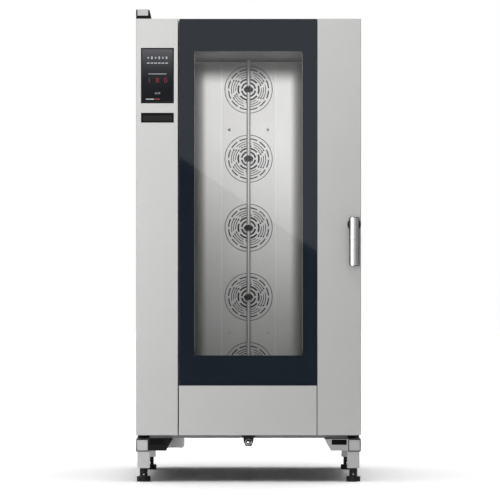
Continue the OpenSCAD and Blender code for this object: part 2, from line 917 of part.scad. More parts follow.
// Goose-neck plates at the top and bottom of the door, each with its pin
module hinge_brackets() {
    eye_gap = 0.5;
    eye_r = hinge_back - glass_t - eye_gap;
    eye_side = eye_r * cos(45);
    foot_off = 45;
    foot_w = 40;
    foot_t = 6;
    foot_x = [hinge_x + foot_off, hinge_x + foot_off + foot_w];
    low = z_bot + notch - hinge_air - hinge_plate;
    high = z_top - notch + hinge_air;
    module plate() {
        translate([hinge_x, hinge_y]) circle(eye_r);
        polygon([
            [hinge_x - eye_side, hinge_y + eye_side], [foot_x[0], y_frame], [foot_x[1], y_frame],
            [foot_x[1], y_frame - foot_t], [hinge_x + eye_side, hinge_y - eye_side]
        ]);
    }
    color("gray") {
        translate([0, 0, low]) linear_extrude(hinge_plate) plate();
        rod_z(pin_r, hinge_x, hinge_y, [low, low + hinge_plate + bush_l]);
        translate([0, 0, high]) linear_extrude(hinge_plate) plate();
        rod_z(pin_r, hinge_x, hinge_y, [high - bush_l, high + hinge_plate]);
    }
}

// Spring jaws behind the front frame that close over the latch cam
module latch_keeper() {
    jaw_w = 50;
    jaw_t = 2;
    lift = 2;
    cam_room = 3;
    hole_room = 5;
    pad_h = 20;
    jaw_in = cam_w / 2 + cam_room;
    pad_in = latch_hole + hole_room;
    x = [spindle_x - jaw_w / 2, in_x];
    y = y_frame + sheet;
    color("gray") for (side = [0, 1])
        translate([0, 0, spindle_z]) mirror([0, 0, side]) {
            block(x, [y + lift, y + lift + jaw_t], [jaw_in, pad_in + pad_h]);
            block(x, [y, y + lift + eps], [pad_in, pad_in + pad_h]);
        }
}

// Welded frame of each side: a rail closed at its front and two plugged legs
module chassis_rails() {
    plug_h = 20;
    rail_z = [z_rail, z_pad];
    color("lightgray") both_sides() difference() {
        union() {
            block(rail_x, rail_y, rail_z);
            for (y = leg_y) block(around(leg_x, leg_w / 2), around(y, leg_w / 2), [z_leg, z_rail]);
        }
        block(grow(rail_x, -tube_wall), [rail_y[0] + tube_wall, rail_y[1] + eps],
            grow(rail_z, -tube_wall));
        for (y = leg_y) {
            block(around(leg_x, leg_w / 2 - tube_wall), around(y, leg_w / 2 - tube_wall),
                [z_leg + plug_h, z_rail - tube_wall]);
            rod_z(thread_r + run_gap, leg_x, y, [z_leg - eps, z_leg + plug_h + eps]);
        }
    }
}

// Hollow trapezoid brackets inside the rails, each with a window in its front
module leg_gussets() {
    wall = 4;
    lid = 2;
    top_w = 94;
    low_w = 69;
    depth = 100;
    front_in = 32;
    slope = 1;
    window_in = [3, 6];
    z = [z_rail + wall, z_pad];
    inner = rail_x[0];
    outline = [[inner - top_w, z[1]], [inner - low_w, z[0]], [inner, z[0]], [inner, z[1]]];
    hollow = [
        outline[0] + [wall + slope, -lid], outline[1] + [wall + slope, wall],
        outline[2] + [-wall, wall], outline[3] + [-wall, -lid]
    ];
    color("gray") both_sides() for (y = leg_y) translate([0, y - front_in, 0]) difference() {
        upright([0, depth]) polygon(outline);
        upright([wall, depth - wall]) polygon(hollow);
        block([inner - low_w + window_in[0], inner - window_in[1]], [-eps, wall + eps],
            [mid(z), z[1] - lid]);
    }
}

// Rubber pads between the rails and the base pan, grooved for their bolts
module mount_pads() {
    length = 60;
    front_in = 8;
    rear_in = 40;
    side_in = 4;
    groove_in = 22;
    groove_w = 8;
    groove_up = 2;
    x = [rail_x[0], rail_x[1] - side_in];
    color("black") both_sides() for (y = [y_frame + front_in, y_rear - rear_in - length])
        difference() {
            block(x, [y, y + length], [z_pad, z_bot]);
            block([x[1] - groove_in - groove_w, x[1] - groove_in], [y - eps, y + length / 2],
                [z_pad + groove_up, z_bot + eps]);
        }
}

// Docking bracket for the tray trolley, on the front lip of the base pan
module dock_bracket() {
    strip_x = 27;
    neck_x = 21;
    plate_x = 19;
    tip_x = 11;
    top = z_bot - 2;
    strip = top - 8;
    neck = top - 12;
    plate = z_pad - 14;
    tip = z_pad - 32;
    outline = [[strip_x, top], [strip_x, strip], [neck_x, neck], [plate_x, plate], [tip_x, tip]];
    half = concat([[0, tip], [0, top]], outline);
    color("black") both_sides() upright(dock_y) polygon(half);
}

// Docking pin with a domed end
module dock_pin() {
    r = 13;
    length = 12;
    dome = 16;
    dome_in = 5;
    edge = 0.5;
    up = z_pad - 16;
    color("silver") {
        rod_y(r, 0, [dock_y[0] - length, dock_y[0]], up);
        translate([0, dock_y[0] - length, up]) rotate([90, 0, 0]) rotate_extrude() intersection() {
            translate([0, -dome_in]) circle(dome);
            square([r - edge, dome]);
        }
    }
}

// Levelling foot: base, stem with a cross hole, and the thread in the leg's plug
module foot(side, y) {
    bevel = 2;
    stud_l = 52;
    cross_r = 3.2;
    cross_up = 7;
    color("black") translate([side * leg_x, y, 0]) difference() {
        rotate_extrude() polygon([
            [0, 0], [foot_r - bevel, 0], [foot_r, bevel], [foot_r, foot_h - bevel],
            [foot_r - bevel, foot_h], [stem_r, foot_h], [stem_r, z_leg],
            [thread_r, z_leg], [thread_r, z_leg + stud_l], [0, z_leg + stud_l]
        ]);
        rod_y(cross_r, 0, around(0, stem_r + eps), foot_h + cross_up);
    }
}

// Hinge stile: a box section with solid ends that hold the bushes. Its rear edge is bevelled
// so that it passes the gasket as the door swings
module door_hinge_stile() {
    end_l = bush_l + 5;
    wire_r = 6;
    swing_r = y_seal - hinge_y;
    bevel = swing_r - sqrt(swing_r * swing_r - hinge_in * hinge_in);
    x = [door_x, -stile_x];
    y = [stile_y, y_seal];
    module plan(by) {
        polygon([
            [x[0] + by, y[0] + by], [x[1] - by, y[0] + by], [x[1] - by, y[1] - by],
            [hinge_x, y[1] - by], [x[0] + by, y[1] - by - bevel]
        ]);
    }
    color("dimgray") difference() {
        translate([0, 0, door_z[0]]) linear_extrude(door_z[1] - door_z[0]) plan(0);
        translate([0, 0, door_z[0] + end_l]) linear_extrude(door_z[1] - door_z[0] - 2 * end_l)
            plan(frame_wall);
        for (z = [[door_z[0] - eps, door_z[0] + bush_l], [door_z[1] - bush_l, door_z[1] + eps]])
            rod_z(pin_r + run_gap + bush_wall, hinge_x, hinge_y, z);
        rod_x(wire_r, [-stile_x - 2 * frame_wall, -stile_x + eps], mid(y), mid(door_z));
    }
}

// Flanged brass bushes that the hinge pins turn in
module hinge_bushes() {
    flange = pin_r + 1.8;
    module bush(z, flange_z) {
        difference() {
            union() {
                rod_z(pin_r + run_gap + bush_wall, hinge_x, hinge_y, z);
                rod_z(flange, hinge_x, hinge_y, flange_z);
            }
            rod_z(pin_r + run_gap, hinge_x, hinge_y, grow(z, hinge_air + eps));
        }
    }
    color("goldenrod") {
        bush([door_z[0], door_z[0] + bush_l], [door_z[0] - hinge_air, door_z[0]]);
        bush([door_z[1] - bush_l, door_z[1]], [door_z[1], door_z[1] + hinge_air]);
    }
}

// Latch stile: a wide box section inside the fascia's fold, open below, with a sleeve for
// the spindle
module door_latch_stile() {
    sleeve_r = spindle_r + 4;
    x = [stile_x, in_x - fit];
    y = [stile_y, y_seal];
    z = [z_bot + sheet, z_top - sheet];
    color("dimgray") difference() {
        union() {
            difference() {
                translate([0, 0, z[0]]) linear_extrude(z[1] - z[0]) intersection() {
                    rect(x, y);
                    fold_plan([0, half_w], [y_door, y_seal + eps], panel_r, sheet + fit);
                }
                block(grow(x, -frame_wall), grow(y, -frame_wall), [z[0] - eps, z[1] - frame_wall]);
            }
            rod_y(sleeve_r, spindle_x, y, spindle_z);
        }
        rod_y(spindle_r + run_gap, spindle_x, grow(y, eps), spindle_z);
    }
}

// Rails between the stiles, hollow and open towards the latch stile
module door_rail(z) {
    x = [-stile_x, stile_x];
    y = [stile_y, y_seal];
    difference() {
        block(x, y, z);
        block([x[0] + frame_wall, x[1] + eps], grow(y, -frame_wall), grow(z, -frame_wall));
    }
}

// Top rail, notched at its left end for the swing of the hinge plate
module door_top_rail() {
    notch_w = 120;
    color("dimgray") difference() {
        door_rail([z_head, z_top - sheet]);
        block([-stile_x - eps, hinge_x + notch_w], grow([stile_y, y_seal], eps),
            [door_z[1], z_top]);
    }
}

module door_bottom_rail() {
    color("dimgray") door_rail([door_z[0], z_sill]);
}

// Outer glass, ground at its hinge edge so that it clears the column
module door_outer_glass() {
    arris = glass_t / 2;
    color("darkslategray") translate([0, 0, z_glass]) linear_extrude(z_top - z_glass) polygon([
        [door_x, stile_y], [door_x, y_door + arris], [door_x + arris, y_door],
        [glass_x, y_door], [glass_x, stile_y]
    ]);
}

module door_inner_glass() {
    rear_in = 1;
    color("lightcyan") block([-stile_x, stile_x], [y_seal - rear_in - inner_t, y_seal - rear_in],
        [z_sill, z_head]);
}

// Steel fascia at the right of the door, folded round the latch stile
module door_fascia() {
    spindle_room = 3;
    x = [fascia_x, half_w];
    color("silver") difference() {
        folded_tray(x, [y_door, y_seal], [z_bot, z_top], panel_r);
        block([x[0] - eps, x[0] + panel_r], [stile_y, y_seal + eps], [z_bot + sheet, z_top - sheet]);
        rod_y(spindle_r + spindle_room, spindle_x, [y_door - eps, y_in + eps], spindle_z);
    }
}

// Steel panel below the glass, with short folded edges and a notch for the hinge plate
module door_lower_panel() {
    notch_room = 2;
    fold_r = min(panel_r, glass_t - eps);
    x = [door_x, glass_x];
    z = [z_bot, z_bot + panel_h - seam / 2];
    color("silver") difference() {
        folded_tray(x, [y_door, stile_y], z, fold_r);
        block([x[0] - eps, x[0] + fold_r], [y_in, stile_y + eps],
            [z[0] + sheet, door_z[0] + notch_room]);
    }
}

// Light bars on the stiles beside the window
module door_light_bars() {
    bar_in = 14;
    bar_d = 20;
    end_gap = 26;
    color("whitesmoke") both_sides() block([win_x, stile_x],
        [stile_y + bar_in, stile_y + bar_in + bar_d], grow([z_sill, z_head], -end_gap));
}

// Convex steel bar on the front of the handle
module handle_bar() {
    color("silver") translate([spindle_x, 0, grip_z[0] + grip_edge])
        linear_extrude(grip_l - 2 * grip_edge) intersection() {
            translate([0, y_grip + bar_r]) circle(bar_r);
            rect([-bar_w, bar_w], [y_grip - eps, y_grip + bar_t]);
        }
}

// Black core of the handle with its hub, which takes the spindle
module handle_hub() {
    core_r = 4;
    hub_gap = 0.5;
    y = [y_grip + bar_t, y_grip + grip_t];
    color("black") difference() {
        union() {
            upright(y) round_rect(around(spindle_x, grip_w / 2), grip_z, core_r);
            rod_y(hub_r, spindle_x, [y[1] - eps, y_door - hub_gap], spindle_z);
        }
        rod_y(spindle_r, spindle_x, [y_door - socket_l, y_door], spindle_z);
    }
}

// Spindle with the oval cam that turns behind the front frame
module latch_spindle() {
    cam_edge = cam_w / 2 - 0.5;
    color("gray") {
        rod_y(spindle_r, spindle_x, [y_door - socket_l, cam_y[1]], spindle_z);
        upright(cam_y) round_rect(around(spindle_x, cam_w / 2), around(spindle_z, cam_l / 2), cam_edge);
    }
}

base_pan();
mirror([1, 0, 0]) side_panel();  // side_panel_left
side_panel();  // side_panel_right
rear_panel();
top_panel();
front_frame();
control_fascia();
display_glass();
display_housing();
control_board();
port_housing();
port_flap();
cavity_wrap();
cavity_ceiling();
cavity_floor();
insulation_slabs();
door_gasket();
fan_baffle();
side_baffles();
baffle_posts();
water_pipe();
spray_nozzles();
heating_elements();
fan_motors();
steam_generator();
drain_pipe();
water_inlets();
cable_gland();
terminal_box();
exhaust_stack();
stack_flange();
hinge_brackets();
latch_keeper();
chassis_rails();
leg_gussets();
mount_pads();
dock_bracket();
dock_pin();
fan_wheel(0);  // fan_wheel_1
fan_wheel(1);  // fan_wheel_2
fan_wheel(2);  // fan_wheel_3
fan_wheel(3);  // fan_wheel_4
fan_wheel(4);  // fan_wheel_5
foot(-1, leg_y[0]);  // foot_front_left
foot(1, leg_y[0]);  // foot_front_right
foot(-1, leg_y[1]);  // foot_rear_left
foot(1, leg_y[1]);  // foot_rear_right
door_hinge_stile();
door_latch_stile();
door_top_rail();
door_bottom_rail();
door_outer_glass();
door_inner_glass();
door_fascia();
door_lower_panel();
door_light_bars();
hinge_bushes();
handle_bar();
handle_hub();
latch_spindle();
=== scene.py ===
import json
import math

import bmesh
import bpy
from mathutils import Matrix, Vector

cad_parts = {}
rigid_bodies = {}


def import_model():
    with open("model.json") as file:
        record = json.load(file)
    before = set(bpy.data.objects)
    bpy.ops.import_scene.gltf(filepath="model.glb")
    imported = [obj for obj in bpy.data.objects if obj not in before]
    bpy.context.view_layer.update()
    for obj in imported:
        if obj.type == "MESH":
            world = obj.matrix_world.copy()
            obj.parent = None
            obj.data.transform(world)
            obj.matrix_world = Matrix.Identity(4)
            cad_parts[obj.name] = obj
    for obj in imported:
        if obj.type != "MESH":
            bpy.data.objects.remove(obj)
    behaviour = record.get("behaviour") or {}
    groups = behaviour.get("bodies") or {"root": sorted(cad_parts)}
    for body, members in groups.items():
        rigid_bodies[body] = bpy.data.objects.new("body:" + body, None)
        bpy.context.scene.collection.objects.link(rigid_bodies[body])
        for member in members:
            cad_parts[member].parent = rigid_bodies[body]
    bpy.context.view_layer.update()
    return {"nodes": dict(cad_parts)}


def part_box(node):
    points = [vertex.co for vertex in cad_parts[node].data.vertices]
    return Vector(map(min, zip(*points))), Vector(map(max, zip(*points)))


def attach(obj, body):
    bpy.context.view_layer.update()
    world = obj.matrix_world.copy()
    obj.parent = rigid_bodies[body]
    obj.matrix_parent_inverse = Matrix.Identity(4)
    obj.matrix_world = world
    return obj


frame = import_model()
nodes = frame["nodes"]
scene = bpy.context.scene
print("frame loaded:", len(nodes), "nodes")

# places that the pieces below are worked out from, in metres
glassLow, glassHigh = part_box("door_outer_glass")
displayLow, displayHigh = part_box("display_glass")
flapLow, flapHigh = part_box("port_flap")
baffleLow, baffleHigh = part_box("fan_baffle")
railLow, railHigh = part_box("chassis_rails")
rearLow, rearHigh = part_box("rear_panel")
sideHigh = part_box("side_panel_right")[1]
boxLow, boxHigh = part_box("terminal_box")
flangeLow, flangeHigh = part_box("stack_flange")
pinLow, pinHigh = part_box("dock_pin")
gussetLow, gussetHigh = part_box("leg_gussets")
doorFace = glassLow.y
tiny = 1e-6


# camera
cameraSetup = {
    "side": 0.006,
    "away": 11.5,
    "height": 0.821,
    "widthAtDoor": 1.982,
    "shiftY": 0.05,
    "farClip": 200,
}


def makeCamera(setup):
    data = bpy.data.cameras.new("viewCamera")
    data.angle = 2 * math.atan(setup["widthAtDoor"] / 2 / setup["away"])
    data.shift_y = setup["shiftY"]
    data.clip_end = setup["farClip"]
    camera = bpy.data.objects.new("viewCamera", data)
    camera.location = (setup["side"], doorFace - setup["away"], setup["height"])
    camera.rotation_euler = (math.radians(90), 0, 0)
    scene.collection.objects.link(camera)
    scene.camera = camera


makeCamera(cameraSetup)
scene.view_settings.view_transform = "Standard"
print("camera set")


# shader tools
class Value:
    # a socket that adds a Math node for each sum it is used in
    def __init__(self, finish, socket):
        self.finish = finish
        self.socket = socket

    def join(self, operation, other, swapped=False):
        pair = (other, self) if swapped else (self, other)
        made = self.finish.node("ShaderNodeMath", {"operation": operation}, dict(enumerate(pair)))
        return Value(self.finish, made.outputs[0])

    def __add__(self, other):
        return self.join("ADD", other)

    __radd__ = __add__

    def __sub__(self, other):
        return self.join("SUBTRACT", other)

    def __rsub__(self, other):
        return self.join("SUBTRACT", other, True)

    def __mul__(self, other):
        return self.join("MULTIPLY", other)

    __rmul__ = __mul__

    def __truediv__(self, other):
        return self.join("DIVIDE", other)

    def __rtruediv__(self, other):
        return self.join("DIVIDE", other, True)

    def wave(self):
        return self.join("SINE", 0.0)

    def spread(self, low, high, toLow=0.0, toHigh=1.0):
        # runs from toLow to toHigh as the value goes from low to high
        made = self.finish.node(
            "ShaderNodeMapRange",
            {"clamp": True},
            {"Value": self, "From Min": low, "From Max": high, "To Min": toLow, "To Max": toHigh},
        )
        return Value(self.finish, made.outputs["Result"])


class NodeTree:
    def __init__(self, tree):
        self.tree = tree
        tree.nodes.clear()

    def node(self, kind, settings=None, sockets=None):
        made = self.tree.nodes.new(kind)
        for key, value in (settings or {}).items():
            setattr(made, key, value)
        for key, value in (sockets or {}).items():
            self.feed(made.inputs[key], value)
        return made

    def feed(self, socket, value):
        if isinstance(value, Value):
            value = value.socket
        if isinstance(value, bpy.types.NodeSocket):
            self.tree.links.new(value, socket)
        else:
            socket.default_value = value


class Finish(NodeTree):
    def __init__(self, name):
        self.material = bpy.data.materials.new(name)
        self.material.use_nodes = True
        super().__init__(self.material.node_tree)
        self.output = self.node("ShaderNodeOutputMaterial")
        self.place = self.node("ShaderNodeTexCoord").outputs["Object"]

    def noise(self, scale, stretch=(1, 1, 1), detail=3.0):
        mapped = self.node("ShaderNodeMapping", {}, {"Vector": self.place, "Scale": stretch})
        made = self.node(
            "ShaderNodeTexNoise", {}, {"Vector": mapped.outputs[0], "Scale": scale, "Detail": detail}
        )
        return Value(self, made.outputs["Fac"])

    def axis(self, letter):
        made = self.node("ShaderNodeSeparateXYZ", {}, {"Vector": self.place})
        return Value(self, made.outputs[letter])

    def blend(self, factor, low, high):
        # the colour sockets of a Mix node are its inputs 6 and 7 and its output 2
        sockets = {0: factor, 6: (*low, 1), 7: (*high, 1)}
        return self.node("ShaderNodeMix", {"data_type": "RGBA"}, sockets).outputs[2]

    def bump(self, height, strength, distance):
        sockets = {"Strength": strength, "Distance": distance, "Height": height}
        return self.node("ShaderNodeBump", {}, sockets).outputs["Normal"]

    def surface(self, sockets):
        shader = self.node("ShaderNodeBsdfPrincipled", {}, sockets)
        self.tree.links.new(shader.outputs[0], self.output.inputs[0])
        return self.material


# finishes
steelGrain = {
    "along": 4,
    "across": 300,
    "detail": 4.0,
    "drift": 2.2,
    "streakShare": 0.6,
    "streakRough": 0.08,
    "driftRough": 0.06,
    "lift": 0.06,
    "depth": 0.0004,
}


def drawnStreaks(made, axis):
    # fine grain that is drawn out along one axis
    stretch = [steelGrain["along" if letter == axis else "across"] for letter in "XYZ"]
    return made.noise(1.0, stretch, steelGrain["detail"])


def satinSteel(name, tone, rough, along="Z", grain=0.05):
    # sheet steel with drawn grain and a slow drift in tone
    made = Finish(name)
    streaks = drawnStreaks(made, along)
    drift = made.noise(steelGrain["drift"])
    share = steelGrain["streakShare"]
    streakRough, driftRough = steelGrain["streakRough"], steelGrain["driftRough"]
    base = rough - (streakRough + driftRough) / 2
    dark = [c * (1 - grain) for c in tone]
    light = [min(1, c * (1 + grain)) for c in tone]
    return made.surface({
        "Base Color": made.blend(streaks * share + drift * (1 - share), dark, light),
        "Metallic": 1.0,
        "Roughness": streaks * streakRough + drift * driftRough + base,
        "Normal": made.bump(streaks, steelGrain["lift"], steelGrain["depth"]),
    })


# the left colour is painted shade that blacks the left gusset; the right colour is the steel's own tone
gussetSetup = {
    "left": (0.008, 0.008, 0.008),
    "right": (0.33, 0.33, 0.327),
    "changeHalf": 0.1,
    "grain": 0.03,
    "rough": 0.40,
    "streakRough": 0.1,
}


def gussetShadedPair(name, setup):
    # steel with grain along X, painted near black on the left side of the oven as painted shade, and plain
    # steel on the right
    made = Finish(name)
    streaks = drawnStreaks(made, "X")
    # mask across X that lays the painted shade on the left gusset
    side = made.axis("X").spread(-setup["changeHalf"], setup["changeHalf"])
    grain = setup["grain"]
    return made.surface({
        "Base Color": made.blend(side * (1 - grain) + streaks * grain, setup["left"], setup["right"]),
        "Metallic": 1.0,
        "Roughness": streaks * setup["streakRough"] + setup["rough"],
        "Normal": made.bump(streaks, steelGrain["lift"], steelGrain["depth"]),
    })


mouldSkin = {
    "detail": 2.0,
    "drift": 9.0,
    "driftFrom": 0.35,
    "driftTo": 0.7,
    "lighter": 1.35,
    "haze": 0.004,
    "skinRough": 0.1,
    "driftRough": 0.08,
    "depth": 0.0003,
}


def moulded(name, tone, rough, grain=900.0, lift=0.12, shine=0.22, metal=0.0):
    # moulded plastic, powder coat or grained zinc with a fine leathery skin
    made = Finish(name)
    skin = made.noise(grain, detail=mouldSkin["detail"])
    drift = made.noise(mouldSkin["drift"])
    patches = drift.spread(mouldSkin["driftFrom"], mouldSkin["driftTo"])
    skinRough, driftRough = mouldSkin["skinRough"], mouldSkin["driftRough"]
    base = rough - (skinRough + driftRough) / 2
    light = [min(1, c * mouldSkin["lighter"] + mouldSkin["haze"]) for c in tone]
    return made.surface({
        "Base Color": made.blend(patches, tone, light),
        "Roughness": skin * skinRough + drift * driftRough + base,
        "Metallic": metal,
        "Specular IOR Level": shine,
        "Normal": made.bump(skin, lift, mouldSkin["depth"]),
    })


footSetup = {
    "tone": (0.010, 0.010, 0.010),
    "lighter": 1.5,
    "grain": 600.0,
    "detail": 2.0,
    "patchFrom": 0.4,
    "patchTo": 0.7,
    "rough": 0.32,
    "skinRough": 0.1,
    "shine": 0.14,
    "threadFrom": 0.055,
    "pitch": 0.0025,
    "skinShare": 0.08,
    "lift": 0.6,
    "depth": 0.001,
}


def footCoat(name, setup):
    # black coat on a foot, with a cut thread on its stud
    made = Finish(name)
    skin = made.noise(setup["grain"], detail=setup["detail"])
    patches = skin.spread(setup["patchFrom"], setup["patchTo"])
    height = made.axis("Z")
    start, pitch = setup["threadFrom"], setup["pitch"]
    thread = (height * (2 * math.pi / pitch)).wave() * height.spread(start, start + pitch)
    light = [c * setup["lighter"] for c in setup["tone"]]
    return made.surface({
        "Base Color": made.blend(patches, setup["tone"], light),
        "Roughness": skin * setup["skinRough"] + setup["rough"],
        "Specular IOR Level": setup["shine"],
        "Normal": made.bump(thread + skin * setup["skinShare"], setup["lift"], setup["depth"]),
    })


rubberSetup = {
    "tone": (0.018, 0.018, 0.018),
    "lighter": 1.6,
    "grain": 1400.0,
    "detail": 2.0,
    "dust": 30.0,
    "dustFrom": 0.45,
    "dustTo": 0.75,
    "rough": 0.68,
    "dustRough": 0.15,
    "shine": 0.3,
    "lift": 0.2,
    "depth": 0.0003,
}


def rubberSkin(name, setup):
    made = Finish(name)
    skin = made.noise(setup["grain"], detail=setup["detail"])
    dust = made.noise(setup["dust"])
    light = [c * setup["lighter"] for c in setup["tone"]]
    return made.surface({
        "Base Color": made.blend(dust.spread(setup["dustFrom"], setup["dustTo"]), setup["tone"], light),
        "Roughness": dust * setup["dustRough"] + setup["rough"],
        "Specular IOR Level": setup["shine"],
        "Normal": made.bump(skin, setup["lift"], setup["depth"]),
    })


# tint of the glass, and the share of light that each of its faces mirrors when seen square on
outerPaneSetup = {"tint": (0.97, 0.97, 0.97), "shine": 0.0278, "rough": 0.015}
innerPaneSetup = {"tint": (0.98, 0.98, 0.98), "shine": 0.0049, "rough": 0.015}


def clearPane(name, setup):
    # thin clear glass: light goes straight through and each face mirrors a little, more at a slant
    made = Finish(name)
    through = made.node("ShaderNodeBsdfTransparent", {}, {"Color": (*setup["tint"], 1)})
    mirror = made.node("ShaderNodeBsdfGlossy", {}, {"Color": (1, 1, 1, 1), "Roughness": setup["rough"]})
    weight = made.node("ShaderNodeLayerWeight", {}, {"Blend": 0.5})  # 0.5 leaves the slant as it is
    slant = Value(made, weight.outputs["Facing"])
    squared = slant * slant
    edge = squared * squared * slant * (1 - setup["shine"]) + setup["shine"]
    parts = {0: edge, 1: through.outputs[0], 2: mirror.outputs[0]}
    both = made.node("ShaderNodeMixShader", {}, parts)
    made.tree.links.new(both.outputs[0], made.output.inputs[0])
    return made.material


enamelSetup = {
    "tone": (0.0145, 0.0243, 0.0381),
    "lighter": 1.25,
    "drift": 3.0,
    "rough": 0.02,
    "driftRough": 0.02,
    "ior": 1.42,
}


def enamelPrint(name, setup):
    # fired dark enamel with the gloss of the glass that carries it
    made = Finish(name)
    drift = made.noise(setup["drift"])
    light = [c * setup["lighter"] for c in setup["tone"]]
    return made.surface({
        "Base Color": made.blend(drift, setup["tone"], light),
        "Roughness": drift * setup["driftRough"] + setup["rough"],
        "IOR": setup["ior"],
    })


# the top colour is a painted reflection on the display glass
touchSetup = {
    "foot": (0.002, 0.003, 0.005),
    "top": (0.11, 0.11, 0.12),
    "drift": 14.0,
    "driftShare": 0.05,
    "rough": 0.06,
    "driftRough": 0.04,
    "shine": 0.12,
}


def touchGlass(name, setup):
    # black display glass, a little greyer at the top as a painted reflection
    made = Finish(name)
    height = made.axis("Z").spread(displayLow.z, displayHigh.z)
    drift = made.noise(setup["drift"])
    share = setup["driftShare"]
    reflectionFade = height * height * height * (1 - share) + drift * share
    return made.surface({
        "Base Color": made.blend(reflectionFade, setup["foot"], setup["top"]),
        "Roughness": drift * setup["driftRough"] + setup["rough"],
        "Specular IOR Level": setup["shine"],
    })


glowSetup = {"drift": 40.0, "dim": 0.85, "rough": 0.5}


def glow(name, tone, strength):
    made = Finish(name)
    drift = made.noise(glowSetup["drift"])
    colour = made.blend(drift, [c * glowSetup["dim"] for c in tone], tone)
    return made.surface({
        "Base Color": colour,
        "Roughness": glowSetup["rough"],
        "Emission Color": colour,
        "Emission Strength": strength,
    })


woolSetup = {
    "dark": (0.42, 0.34, 0.16),
    "light": (0.78, 0.70, 0.47),
    "strand": 220.0,
    "stretch": (1, 1, 6),
    "detail": 6.0,
    "lump": 35.0,
    "strandShare": 0.6,
    "rough": 0.85,
    "lumpRough": 0.1,
    "lift": 0.7,
    "depth": 0.003,
}


def fibreWool(name, setup):
    made = Finish(name)
    strands = made.noise(setup["strand"], setup["stretch"], setup["detail"])
    lumps = made.noise(setup["lump"])
    share = setup["strandShare"]
    return made.surface({
        "Base Color": made.blend(strands * share + lumps * (1 - share), setup["dark"], setup["light"]),
        "Roughness": lumps * setup["lumpRough"] + setup["rough"],
        "Normal": made.bump(strands + lumps, setup["lift"], setup["depth"]),
    })


boardSetup = {
    "dark": (0.01, 0.09, 0.03),
    "light": (0.03, 0.2, 0.08),
    "track": 160.0,
    "stretch": (1, 1, 0.2),
    "detail": 2.0,
    "edgeFrom": 0.45,
    "edgeTo": 0.55,
    "rough": 0.3,
    "trackRough": 0.2,
    "lift": 0.2,
    "depth": 0.0004,
}


def circuitBoard(name, setup):
    made = Finish(name)
    tracks = made.noise(setup["track"], setup["stretch"], setup["detail"])
    lines = tracks.spread(setup["edgeFrom"], setup["edgeTo"])
    return made.surface({
        "Base Color": made.blend(lines, setup["dark"], setup["light"]),
        "Roughness": tracks * setup["trackRough"] + setup["rough"],
        "Normal": made.bump(tracks, setup["lift"], setup["depth"]),
    })


tubeSetup = {
    "dark": (0.12, 0.10, 0.10),
    "light": (0.32, 0.27, 0.22),
    "tint": 24.0,
    "metal": 0.9,
    "rough": 0.38,
    "tintRough": 0.15,
}


def heatTube(name, setup):
    made = Finish(name)
    tint = made.noise(setup["tint"])
    return made.surface({
        "Base Color": made.blend(tint, setup["dark"], setup["light"]),
        "Metallic": setup["metal"],
        "Roughness": tint * setup["tintRough"] + setup["rough"],
    })


